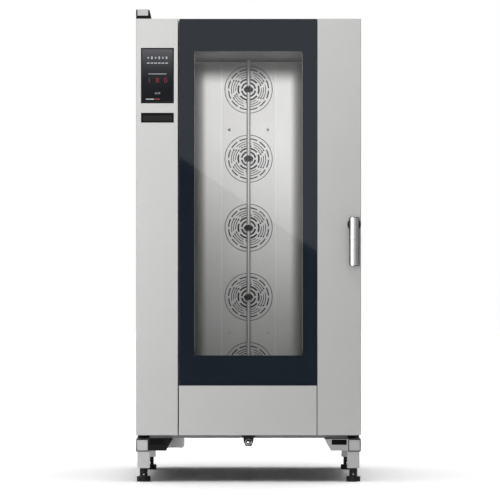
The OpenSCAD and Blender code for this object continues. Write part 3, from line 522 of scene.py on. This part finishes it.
finishes = {
    "panelSteel": satinSteel("panelSteel", (0.405, 0.405, 0.40), 0.50),
    "sideSteel": satinSteel("sideSteel", (0.405, 0.405, 0.40), 0.45, "Y"),
    "stackSteel": satinSteel("stackSteel", (0.325, 0.325, 0.32), 0.45, "X"),
    "cavitySteel": satinSteel("cavitySteel", (0.52, 0.517, 0.512), 0.68, "Z", 0.03),
    "wingSteel": satinSteel("wingSteel", (0.50, 0.497, 0.492), 0.66, "Z", 0.03),
    # lighter than the cavity steel: a painted highlight on the baffle's folds
    "foldHighlightSteel": satinSteel("foldHighlightSteel", (0.60, 0.597, 0.592), 0.66, "Z", 0.03),
    # near black steel: painted shade, for the shading line round each grille and the groove on the docking
    # pin
    "shadeRimSteel": satinSteel("shadeRimSteel", (0.09, 0.09, 0.089), 0.60, "Z", 0.03),
    # darker than the cavity steel: painted shade on the ceiling
    "ceilingShadeSteel": satinSteel("ceilingShadeSteel", (0.13, 0.13, 0.13), 0.52, "X", 0.03),
    "baseSteel": satinSteel("baseSteel", (0.40, 0.40, 0.40), 0.45, "X"),
    # darker than the base steel: painted shade under the oven
    "panShadeSteel": satinSteel("panShadeSteel", (0.23, 0.23, 0.23), 0.50, "X"),
    "gussetSteel": gussetShadedPair("gussetSteel", gussetSetup),
    "postSteel": satinSteel("postSteel", (0.36, 0.36, 0.355), 0.4, "Y"),
    "chassisSteel": satinSteel("chassisSteel", (0.37, 0.37, 0.366), 0.45, "Y"),
    "barSteel": satinSteel("barSteel", (0.70, 0.70, 0.70), 0.22, "Z", 0.03),
    "pinSteel": satinSteel("pinSteel", (0.82, 0.82, 0.82), 0.14, "Y", 0.03),
    # near black: painted shade of the dark fan chamber seen through the grilles
    "fanShadeSteel": satinSteel("fanShadeSteel", (0.03, 0.029, 0.028), 0.45, "Y"),
    "nozzleSteel": satinSteel("nozzleSteel", (0.04, 0.04, 0.04), 0.42, "Y", 0.12),
    "frameCoat": moulded("frameCoat", (0.028, 0.03, 0.033), 0.45),
    "blackPlastic": moulded("blackPlastic", (0.012, 0.012, 0.013), 0.42),
    "blackCoat": moulded("blackCoat", (0.010, 0.010, 0.010), 0.35, 600.0, 0.08),
    "footCoat": footCoat("footCoat", footSetup),
    "flapBlack": moulded("flapBlack", (0.003, 0.003, 0.003), 0.40, shine=0.06),
    "flapInset": moulded("flapInset", (0.008, 0.008, 0.008), 0.35, shine=0.14),
    "boxPaint": moulded("boxPaint", (0.44, 0.44, 0.44), 0.5, 500.0, metal=0.8),
    "motorPaint": moulded("motorPaint", (0.07, 0.08, 0.09), 0.5, 500.0),
    "rubber": rubberSkin("rubber", rubberSetup),
    "outerPane": clearPane("outerPane", outerPaneSetup),
    "innerPane": clearPane("innerPane", innerPaneSetup),
    "print": enamelPrint("print", enamelSetup),
    "touchGlass": touchGlass("touchGlass", touchSetup),
    "lampWhite": glow("lampWhite", (1.0, 0.98, 0.94), 0.1),
    "bezelBlack": moulded("bezelBlack", (0.004, 0.004, 0.005), 0.30, shine=0.12),
    "markWhite": glow("markWhite", (0.30, 0.31, 0.33), 0.4),
    "markRed": glow("markRed", (0.17, 0.010, 0.016), 0.4),
    "wool": fibreWool("wool", woolSetup),
    "board": circuitBoard("board", boardSetup),
    "heatTube": heatTube("heatTube", tubeSetup),
    "brass": satinSteel("brass", (0.70, 0.50, 0.22), 0.30, "Y"),
}
feet = [f"foot_{end}_{side}" for end in ("front", "rear") for side in ("left", "right")]
wheels = [f"fan_wheel_{i}" for i in range(1, 6)]
dressing = {
    "panelSteel": ["control_fascia", "door_fascia", "door_lower_panel"],
    "sideSteel": ["side_panel_left", "side_panel_right", "rear_panel", "top_panel", "front_frame"],
    "stackSteel": ["exhaust_stack"],
    "baseSteel": ["hinge_brackets", "latch_keeper", "latch_spindle"],
    "panShadeSteel": ["base_pan"],
    "gussetSteel": ["leg_gussets"],
    "postSteel": ["baffle_posts"],
    "cavitySteel": ["cavity_wrap", "cavity_floor", "fan_baffle", "water_pipe", "drain_pipe",
                    "steam_generator"],
    "wingSteel": ["side_baffles"],
    "ceilingShadeSteel": ["cavity_ceiling"],
    "chassisSteel": ["chassis_rails"],
    "barSteel": ["handle_bar"],
    "pinSteel": ["dock_pin"],
    "fanShadeSteel": wheels,
    "nozzleSteel": ["spray_nozzles"],
    "frameCoat": ["door_hinge_stile", "door_latch_stile", "door_top_rail", "door_bottom_rail"],
    "blackPlastic": ["display_housing", "port_housing", "handle_hub", "cable_gland"],
    "flapBlack": ["port_flap", "stack_flange"],
    "blackCoat": ["dock_bracket"],
    "footCoat": feet,
    "boxPaint": ["terminal_box"],
    "motorPaint": ["fan_motors"],
    "rubber": ["door_gasket", "mount_pads"],
    "outerPane": ["door_outer_glass"],
    "innerPane": ["door_inner_glass"],
    "touchGlass": ["display_glass"],
    "lampWhite": ["door_light_bars"],
    "wool": ["insulation_slabs"],
    "board": ["control_board"],
    "heatTube": ["heating_elements"],
    "brass": ["water_inlets", "hinge_bushes"],
}


def dressNodes():
    for finish, names in dressing.items():
        for name in names:
            slots = nodes[name].data.materials
            slots.clear()
            slots.append(finishes[finish])


dressNodes()
print("nodes dressed:", sum(len(names) for names in dressing.values()))


# mesh tools
bevelSteps = {"corner": 5, "rim": 2, "ring": 4}


def toMesh(bm, name):
    mesh = bpy.data.meshes.new(name)
    bm.to_mesh(mesh)
    bm.free()
    return mesh


def addPiece(mesh, name, finish, body):
    # puts the mesh in the scene as a piece that rides on a body
    mesh.materials.append(finishes[finish])
    piece = bpy.data.objects.new(name, mesh)
    scene.collection.objects.link(piece)
    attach(piece, body)


def settle(bm, name, finish, body):
    addPiece(toMesh(bm, name), name, finish, body)


def addPlate(bm, low, high, corner=0.0, rim=0.0):
    # a plate facing -Y with round corners and a soft front rim
    low, high = Vector(low), Vector(high)
    size = high - low
    shape = Matrix.Translation((low + high) / 2) @ Matrix.Diagonal((*size, 1))
    verts = bmesh.ops.create_cube(bm, size=1, matrix=shape)["verts"]
    edges = {e for v in verts for e in v.link_edges}
    if corner:
        posts = [e for e in edges if abs(e.verts[0].co.y - e.verts[1].co.y) > size.y / 2]
        made = bmesh.ops.bevel(bm, geom=posts, offset=corner, segments=bevelSteps["corner"],
                               profile=0.5, affect="EDGES", material=-1)
        verts = list({v for f in made["faces"] for v in f.verts} | {v for v in verts if v.is_valid})
    if rim:
        front = {e for v in verts for e in v.link_edges
                 if all(abs(w.co.y - low.y) < tiny for w in e.verts)}
        bmesh.ops.bevel(bm, geom=list(front), offset=rim, segments=bevelSteps["rim"],
                        profile=0.5, affect="EDGES", material=-1)


def addRim(bm, left, right, low, high, y, corner):
    # an open rectangle of edges with round corners, facing -Y
    corners = ((left, low), (right, low), (right, high), (left, high))
    verts = [bm.verts.new((x, y, z)) for x, z in corners]
    bm.faces.new(verts)
    made = bmesh.ops.bevel(bm, geom=verts, offset=corner, segments=bevelSteps["ring"],
                           profile=0.5, affect="VERTICES", material=-1)
    edges = list({e for v in made["verts"] for e in v.link_edges})
    bmesh.ops.delete(bm, geom=list({f for e in edges for f in e.link_faces}), context="FACES_ONLY")
    return edges


def addRing(bm, outer, inner, y, thick, outerCorner, innerCorner):
    # a flat ring between two rectangles, each given as left, right, low and high
    edges = addRim(bm, *outer, y, outerCorner) + addRim(bm, *inner, y, innerCorner)
    faces = bmesh.ops.bridge_loops(bm, edges=edges)["faces"]
    bmesh.ops.recalc_face_normals(bm, faces=faces)
    bmesh.ops.solidify(bm, geom=faces, thickness=thick)


def spinLoop(bm, loop, edges, centre, steps):
    # turns a closed loop once round an axis along Y
    bmesh.ops.spin(bm, geom=loop + edges, cent=centre, axis=(0, 1, 0), angle=2 * math.pi,
                   steps=steps, use_merge=True)


def closeUp(bm):
    bmesh.ops.remove_doubles(bm, verts=bm.verts, dist=tiny)
    bmesh.ops.recalc_face_normals(bm, faces=bm.faces)


# dark printed border of the outer glass
printSetup = {
    "inset": 0.0008,
    "arris": 0.0022,
    "thick": 0.0002,
    "proud": 0.0003,
    "outerCorner": 0.0006,
    "innerCorner": 0.002,
}
window = {"left": -0.214, "right": 0.214, "low": 0.502, "high": 1.708}


def makePrint(setup):
    bm = bmesh.new()
    inset = setup["inset"]
    outer = (glassLow.x + setup["arris"], glassHigh.x - inset, glassLow.z + inset, glassHigh.z - inset)
    addRing(bm, outer, window.values(), doorFace - setup["proud"], setup["thick"],
            setup["outerCorner"], setup["innerCorner"])
    settle(bm, "glassPrint", "print", "door")


makePrint(printSetup)
print("glass print made")


# folded edges of the baffle's centre panel, lighter than the baffle as a painted highlight, and the beads
# round its grilles, dark as a painted shade line
baffleSetup = {
    "sheetFace": 0.0012,
    "fold": 0.0034,
    "foldThick": 0.0009,
    "foldRim": 0.0004,
    "topFold": 0.004,
    "topHalf": 0.226,
    "rimRadius": 0.0995,
    "rimTube": 0.0015,
    "rimSides": 8,
    "rimSteps": 72,
}


def makeBaffleFolds(setup):
    bm = bmesh.new()
    face = baffleLow.y + setup["sheetFace"]
    front = face - setup["foldThick"]
    half = setup["fold"] / 2
    rim = setup["foldRim"]
    for x in (baffleLow.x, baffleHigh.x):
        addPlate(bm, (x - half, front, baffleLow.z), (x + half, face, baffleHigh.z), rim=rim)
    low = (-setup["topHalf"], front, baffleHigh.z - setup["topFold"] / 2)
    high = (setup["topHalf"], face, baffleHigh.z + setup["topFold"] / 2)
    addPlate(bm, low, high, rim=rim)
    settle(bm, "baffleFolds", "foldHighlightSteel", "oven_body")


# the beads are dark as a painted shade line round each grille
def makeGrilleShadeRims(setup):
    bm = bmesh.new()
    face = baffleLow.y + setup["sheetFace"]
    for wheel in wheels:
        centre = sum(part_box(wheel), Vector()) / 2
        middle = Vector((centre.x, face, centre.z))
        start = Matrix.Translation(middle + Vector((setup["rimRadius"], 0, 0)))
        loop = bmesh.ops.create_circle(bm, segments=setup["rimSides"], radius=setup["rimTube"],
                                       matrix=start)["verts"]
        spinLoop(bm, loop, list({e for v in loop for e in v.link_edges}), middle, setup["rimSteps"])
    closeUp(bm)
    settle(bm, "grilleShadeRims", "shadeRimSteel", "oven_body")


makeBaffleFolds(baffleSetup)
makeGrilleShadeRims(baffleSetup)


# inset plate on the service flap
flapSetup = {
    "sideIn": 0.011,
    "lowIn": 0.006,
    "topIn": 0.009,
    "proud": 0.0006,
    "corner": 0.003,
    "rim": 0.0004,
}


def makeFlapInset(setup):
    bm = bmesh.new()
    low = (flapLow.x + setup["sideIn"], flapLow.y - setup["proud"], flapLow.z + setup["lowIn"])
    high = (flapHigh.x - setup["sideIn"], flapLow.y, flapHigh.z - setup["topIn"])
    addPlate(bm, low, high, setup["corner"], setup["rim"])
    settle(bm, "flapInset", "flapInset", "service_flap")


makeFlapInset(flapSetup)


# caps on the front ends of the chassis rails: a dark ring, painted shade for the shadow gap round the rail
# end, round a steel plate
railSetup = {
    "size": 0.050,
    "seal": 0.0035,
    "sealThick": 0.0006,
    "plateThick": 0.0022,
    "corner": 0.004,
    "rim": 0.0014,
}


def makeRailEnds(setup):
    seals = bmesh.new()
    plates = bmesh.new()
    low = railHigh.z - setup["size"]
    seal = setup["seal"]
    for right in (railLow.x + setup["size"], railHigh.x):
        left = right - setup["size"]
        outer = (left, right, low, railHigh.z)
        inner = (left + seal, right - seal, low + seal, railHigh.z - seal)
        addRing(seals, outer, inner, railLow.y - setup["sealThick"], setup["sealThick"],
                setup["corner"], setup["corner"] / 2)
        front = (inner[0], railLow.y - setup["plateThick"], inner[2])
        addPlate(plates, front, (inner[1], railLow.y, inner[3]), setup["corner"] / 2, setup["rim"])
    settle(seals, "railShadeSeals", "rubber", "oven_body")
    settle(plates, "railPlates", "chassisSteel", "oven_body")


makeRailEnds(railSetup)


# black collar on the front of the exhaust stack: an upright edge at the left and a band along the foot
collarSetup = {"proud": 0.0008, "edge": 0.0050, "band": 0.0130, "lean": 0.0030}


def makeCollar(setup):
    bm = bmesh.new()
    front = flangeLow.y - setup["proud"]
    corner = flangeLow.x + setup["edge"]
    addPlate(bm, (flangeLow.x, front, flangeLow.z), (corner, flangeLow.y, flangeHigh.z))
    right = flangeHigh.x - setup["lean"]
    addPlate(bm, (corner, front, flangeLow.z), (right, flangeLow.y, flangeLow.z + setup["band"]))
    settle(bm, "stackCollar", "flapBlack", "oven_body")


makeCollar(collarSetup)


# black plates inside the front gussets, behind their windows: painted shade that darkens the hollows
shadeLinerSetup = {
    "farIn": 0.0675,
    "nearIn": 0.0045,
    "behind": 0.0043,
    "thick": 0.0012,
    "topIn": 0.0025,
    "lap": 0.0015,
}


def makeShadeLiners(setup):
    bm = bmesh.new()
    front = gussetLow.y + setup["behind"]
    low = (gussetLow.z + gussetHigh.z) / 2 - setup["lap"]
    high = gussetHigh.z - setup["topIn"]
    for side in (-1, 1):
        left, right = sorted(side * (gussetHigh.x - setup[end]) for end in ("farIn", "nearIn"))
        addPlate(bm, (left, front, low), (right, front + setup["thick"], high))
    settle(bm, "gussetShadeLiners", "flapBlack", "oven_body")


makeShadeLiners(shadeLinerSetup)


# dark ring on the dome of the docking pin, painted shade for the groove there: its section, as radius and
# depth behind the tip
pinSetup = {
    "section": ((0.0045, 0.0001), (0.0090, 0.0022), (0.0090, 0.0032), (0.0045, 0.0011)),
    "steps": 40,
}


def makePinShadeRing(setup):
    bm = bmesh.new()
    tip = Vector(((pinLow.x + pinHigh.x) / 2, pinLow.y, (pinLow.z + pinHigh.z) / 2))
    loop = [bm.verts.new(tip + Vector((radius, depth, 0))) for radius, depth in setup["section"]]
    edges = [bm.edges.new((loop[i - 1], loop[i])) for i in range(len(loop))]
    spinLoop(bm, loop, edges, tip, setup["steps"])
    closeUp(bm)
    settle(bm, "pinShadeRing", "shadeRimSteel", "oven_body")


makePinShadeRing(pinSetup)
print("beads, flap inset, rail ends, stack collar, gusset liners and pin ring made")


# screws of the rear panel, the side panels and the junction box
screwSetup = {
    "radius": 0.0045,
    "height": 0.0018,
    "taper": 0.75,
    "sides": 12,
    "recessIn": 0.3,
    "recess": 0.0010,
    "edge": 0.022,
    "rows": 6,
    "sideIn": 0.030,
    "lidIn": 0.011,
}


def addScrew(bm, centre, facing, setup):
    # a low round head with a recess for the driver
    facing = Vector(facing)
    turn = Vector((0, 0, 1)).rotation_difference(facing).to_matrix().to_4x4()
    place = Matrix.Translation(centre) @ turn @ Matrix.Translation((0, 0, setup["height"] / 2))
    made = bmesh.ops.create_cone(bm, cap_ends=True, segments=setup["sides"], radius1=setup["radius"],
                                 radius2=setup["radius"] * setup["taper"], depth=setup["height"],
                                 matrix=place)
    faces = {f for v in made["verts"] for f in v.link_faces}
    top = max(faces, key=lambda f: f.calc_center_median().dot(facing))
    bmesh.ops.inset_region(bm, faces=[top], thickness=setup["radius"] * setup["recessIn"])
    sunk = bmesh.ops.extrude_discrete_faces(bm, faces=[top])["faces"][0]
    bmesh.ops.translate(bm, verts=sunk.verts[:], vec=facing * -setup["recess"])


def makeScrews(setup):
    bm = bmesh.new()
    edge, rows = setup["edge"], setup["rows"]
    step = (rearHigh.z - rearLow.z - 2 * edge) / (rows - 1)
    for row in range(rows):
        z = rearLow.z + edge + row * step
        for x in (rearLow.x + edge, rearHigh.x - edge):
            addScrew(bm, (x, rearHigh.y, z), (0, 1, 0), setup)
        for x in (sideHigh.x, -sideHigh.x):
            addScrew(bm, (x, sideHigh.y - setup["sideIn"], z), (math.copysign(1, x), 0, 0), setup)
    lidIn = setup["lidIn"]
    for x in (boxLow.x + lidIn, boxHigh.x - lidIn):
        for y in (boxLow.y + lidIn, boxHigh.y - lidIn):
            addScrew(bm, (x, y, boxLow.z), (0, 0, -1), setup)
    settle(bm, "panelScrews", "pinSteel", "oven_body")


makeScrews(screwSetup)
print("screws made")


# what the display shows: a dark bezel, plain marks, a line, a temperature and a time
displaySetup = {
    "lift": 0.0004,
    "bezel": 0.0048,
    "bezelFoot": 0.0085,
    "bezelCorner": 0.0015,
    "iconRow": 1.682,
    "iconPitch": 0.0145,
    "iconCount": 6,
    "iconWide": 0.006,
    "iconTall": (0.007, 0.011),
    "iconCorner": 0.002,
    "barRow": 1.661,
    "barWide": 0.011,
    "barTall": 0.0044,
    "barCorner": 0.0015,
    "lineRow": 1.618,
    "lineWide": 0.072,
    "lineTall": 0.0024,
    "heatRow": 1.583,
    "heatTall": 0.021,
    "heatThin": 0.0005,
    "heatSpacing": 2.2,
    "timeRow": 1.538,
    "timeTall": 0.007,
    "footRow": 1.518,
    "footWide": 0.033,
    "footLeft": 0.0295,
    "redWide": 0.020,
    "fontScale": 1.4,
    "digitThick": 0.0001,
}


def makeDigits(name, body, x, z, height, finish, spacing=1.0, thin=0.0):
    curve = bpy.data.curves.new(name, "FONT")
    curve.body = body
    curve.size = height * displaySetup["fontScale"]
    curve.align_x = "CENTER"
    curve.space_character = spacing
    curve.extrude = displaySetup["digitThick"]
    curve.offset = -thin
    written = bpy.data.objects.new(name, curve)
    mesh = bpy.data.meshes.new_from_object(written)
    bpy.data.objects.remove(written)
    y = displayLow.y - displaySetup["lift"]
    mesh.transform(Matrix.Translation((x, y, z)) @ Matrix.Rotation(math.radians(90), 4, "X"))
    addPiece(mesh, name, finish, "oven_body")


def makeDisplay(setup):
    middle = (displayLow.x + displayHigh.x) / 2
    y = displayLow.y - setup["lift"]
    barTall, barCorner = setup["barTall"], setup["barCorner"]

    def addMark(bm, x, z, wide, tall, corner=0.0):
        addPlate(bm, (x - wide / 2, y, z - tall / 2), (x + wide / 2, displayLow.y, z + tall / 2), corner)

    white = bmesh.new()
    left = middle - setup["iconPitch"] * (setup["iconCount"] - 1) / 2
    for i in range(setup["iconCount"]):
        x = left + i * setup["iconPitch"]
        iconTall = setup["iconTall"][i % 2]
        addMark(white, x, setup["iconRow"], setup["iconWide"], iconTall, setup["iconCorner"])
        addMark(white, x, setup["barRow"], setup["barWide"], barTall, barCorner)
    addMark(white, middle, setup["lineRow"], setup["lineWide"], setup["lineTall"])
    addMark(white, middle - setup["footLeft"], setup["footRow"], setup["footWide"], barTall, barCorner)
    settle(white, "displayMarks", "markWhite", "oven_body")
    edge = setup["bezel"]
    outer = (displayLow.x, displayHigh.x, displayLow.z, displayHigh.z)
    inner = (displayLow.x + edge, displayHigh.x - edge,
             displayLow.z + setup["bezelFoot"], displayHigh.z - edge)
    bezel = bmesh.new()
    addRing(bezel, outer, inner, y, setup["lift"] / 2, setup["bezelCorner"], setup["bezelCorner"])
    settle(bezel, "displayBezel", "bezelBlack", "oven_body")
    red = bmesh.new()
    addMark(red, middle, setup["footRow"], setup["redWide"], barTall, barCorner)
    settle(red, "displayRedMark", "markRed", "oven_body")
    makeDigits("displayHeat", "180", middle, setup["heatRow"], setup["heatTall"], "markRed",
               setup["heatSpacing"], setup["heatThin"])
    makeDigits("displayTime", "00:30", middle, setup["timeRow"], setup["timeTall"], "markWhite")


makeDisplay(displaySetup)
print("display marks made")


# studio floor and light
studio = {
    "floorSize": 60.0,
    "floorTone": 0.80,
    "floorShown": 1.4,
    "skyHigh": 3.2,
    "lampTarget": (0.0, -0.4, 1.1),
    "windowPlace": (0.04, -6.95, 2.19),
    "windowTarget": (0.16, 0.26, 1.745),
    "windowCone": 21.6,
    "windowSize": 0.33,
    "windowPower": 2410,
    "flagEnds": ((-0.297, 0.26, 1.322), (0.288, 0.26, 0.918)),
    "flagDim": 0.53,
    "flagSoft": 0.0015,
    "matte": 0.9,
}
# the back of the cavity, all that the window lamp lights, and what no strip lamp lights
backPieces = ["fan_baffle", "side_baffles", "cavity_ceiling", "baffleFolds", "grilleShadeRims"]
cavityPieces = backPieces + ["cavity_wrap", "cavity_floor", "water_pipe"]
unlit = ["studioFloor", "door_outer_glass", "door_inner_glass", "glassPrint"]
# strip lamps: a tall one at the left, which leaves out the back of the cavity, a wide one above, and a tall
# one further round for the handle alone; the floor is left to the sky, so its shadow stays under the oven
stripLamps = {
    "sideLamp": {"place": (-2.1, -6.0, 1.2), "wide": 1.0, "tall": 3.0, "power": 89,
                 "link": "EXCLUDE", "pieces": unlit + backPieces + ["handle_bar"]},
    "topLamp": {"place": (-0.4, -2.5, 4.2), "wide": 2.6, "tall": 0.8, "power": 85,
                "link": "EXCLUDE", "pieces": unlit},
    "handleLamp": {"place": (-4.6, -4.2, 1.2), "wide": 1.6, "tall": 3.0, "power": 185,
                   "link": "INCLUDE", "pieces": ["handle_bar"]},
}
# dark cards that only mirrors see: one whose edge slants across the glass, three round the handle's side
# and one on the floor
flagCards = {
    "glassCard": {"tone": 0.30, "corners": (
        (-0.45, -6.0, 1.545), (0.45, -6.0, 0.924), (0.45, -6.0, 0.10), (-0.45, -6.0, 0.10))},
    "nearCard": {"tone": 0.45, "corners": (
        (0.75, -6.2, 0.55), (2.4, -3.4, 0.55), (2.4, -3.4, 1.4), (0.75, -6.2, 1.4))},
    "sideCard": {"tone": 0.30, "corners": (
        (2.4, -3.4, 0.3), (3.6, -0.6, 0.3), (3.6, -0.6, 1.7), (2.4, -3.4, 1.7))},
    "rearCard": {"tone": 0.30, "corners": (
        (3.6, -0.6, 0.0), (3.0, 3.0, 0.0), (3.0, 3.0, 2.2), (3.6, -0.6, 2.2))},
    "floorCard": {"tone": 0.30, "corners": (
        (-0.8, -3.5, 0.002), (1.5, -3.5, 0.002), (1.5, -1.2, 0.002), (-0.8, -1.2, 0.002))},
}


def makeWorld(high):
    # white to the camera and to mirrors, and brighter overhead than at the horizon for soft light
    world = bpy.data.worlds.new("studioWorld")
    scene.world = world
    world.use_nodes = True
    world.cycles.sampling_method = "NONE"
    sky = NodeTree(world.node_tree)
    soft = Value(sky, sky.node("ShaderNodeLightPath").outputs["Is Diffuse Ray"])
    place = sky.node("ShaderNodeTexCoord").outputs["Generated"]
    up = Value(sky, sky.node("ShaderNodeSeparateXYZ", {}, {"Vector": place}).outputs["Z"]).spread(0, 1)
    cubed = up * up * up
    level = cubed * cubed * high * soft + (1 - soft)
    light = sky.node("ShaderNodeBackground", {}, {"Color": (1, 1, 1, 1), "Strength": level})
    sky.node("ShaderNodeOutputWorld", {}, {"Surface": light.outputs[0]})


def linkLamp(lamp, state, pieces):
    # INCLUDE lights these pieces alone, EXCLUDE lights all the others
    linked = bpy.data.collections.new(lamp.name + "Pieces")
    for i, piece in enumerate(pieces):
        linked.objects.link(bpy.data.objects[piece])
        linked.collection_objects[i].light_linking.link_state = state
    lamp.light_linking.receiver_collection = linked


def aim(lamp, place, target):
    lamp.location = place
    lamp.rotation_euler = (Vector(target) - Vector(place)).to_track_quat("-Z", "Y").to_euler()
    lamp.visible_camera = False
    scene.collection.objects.link(lamp)
    return lamp


def stripLamp(name, setup):
    data = bpy.data.lights.new(name, "AREA")
    data.energy = setup["power"]
    data.shape = "RECTANGLE"
    data.size = setup["wide"]
    data.size_y = setup["tall"]
    lamp = aim(bpy.data.objects.new(name, data), setup["place"], studio["lampTarget"])
    linkLamp(lamp, setup["link"], setup["pieces"])


def flagLamp(lamp, ends, dim, soft):
    # a flag across the beam: below the line between two points, the light is dimmed
    turn = lamp.rotation_euler.to_matrix().inverted()
    rays = [turn @ (Vector(end) - lamp.location) for end in ends]
    (leftX, leftY), (rightX, rightY) = [(ray.x / ray.z, ray.y / ray.z) for ray in rays]
    lamp.data.use_nodes = True
    beam = NodeTree(lamp.data.node_tree)
    ray = beam.node("ShaderNodeTexCoord").outputs["Normal"]
    parts = beam.node("ShaderNodeSeparateXYZ", {}, {"Vector": ray}).outputs
    across = Value(beam, parts["X"]) / Value(beam, parts["Z"])
    height = Value(beam, parts["Y"]) / Value(beam, parts["Z"])
    above = (across - leftX) * ((rightY - leftY) / (rightX - leftX)) + leftY - height
    light = beam.node("ShaderNodeEmission", {}, {"Strength": above.spread(-soft, soft, dim, 1.0)})
    beam.node("ShaderNodeOutputLight", {}, {"Surface": light.outputs[0]})


def windowLamp(setup):
    # light that falls through the window on the inside of the oven alone
    data = bpy.data.lights.new("windowLamp", "SPOT")
    data.energy = setup["windowPower"]
    data.spot_size = math.radians(setup["windowCone"])
    data.spot_blend = 1.0
    data.shadow_soft_size = setup["windowSize"]
    lamp = aim(bpy.data.objects.new("windowLamp", data), setup["windowPlace"], setup["windowTarget"])
    linkLamp(lamp, "INCLUDE", cavityPieces)
    flagLamp(lamp, setup["flagEnds"], setup["flagDim"], setup["flagSoft"])


def stagePiece(bm, name, material):
    mesh = toMesh(bm, name)
    mesh.materials.append(material)
    piece = bpy.data.objects.new(name, mesh)
    scene.collection.objects.link(piece)
    return piece


def makeFloor(setup):
    # pale floor, shown white to the camera and to mirrors so that only the shadow marks it
    made = Finish("studioFloor")
    path = made.node("ShaderNodeLightPath").outputs
    seen = Value(made, path["Is Camera Ray"]) + Value(made, path["Is Glossy Ray"])
    seen = seen + Value(made, path["Is Transmission Ray"])
    plain = [setup["floorTone"]] * 3
    shown = [setup["floorShown"]] * 3
    bm = bmesh.new()
    bmesh.ops.create_grid(bm, x_segments=1, y_segments=1, size=setup["floorSize"] / 2)
    stagePiece(bm, "studioFloor", made.surface({
        "Base Color": made.blend(seen, plain, shown),
        "Roughness": setup["matte"],
        "Specular IOR Level": 0.0,
    }))


def makeCard(name, setup):
    made = Finish(name)
    tone = setup["tone"]
    bm = bmesh.new()
    bm.faces.new([bm.verts.new(corner) for corner in setup["corners"]])
    sockets = {"Base Color": (tone, tone, tone, 1), "Roughness": studio["matte"]}
    card = stagePiece(bm, name, made.surface(sockets))
    card.visible_camera = False
    card.visible_diffuse = False
    card.visible_transmission = False
    card.visible_shadow = False


makeWorld(studio["skyHigh"])
makeFloor(studio)
for name, setup in flagCards.items():
    makeCard(name, setup)
for name, setup in stripLamps.items():
    stripLamp(name, setup)
windowLamp(studio)
print("studio lit")
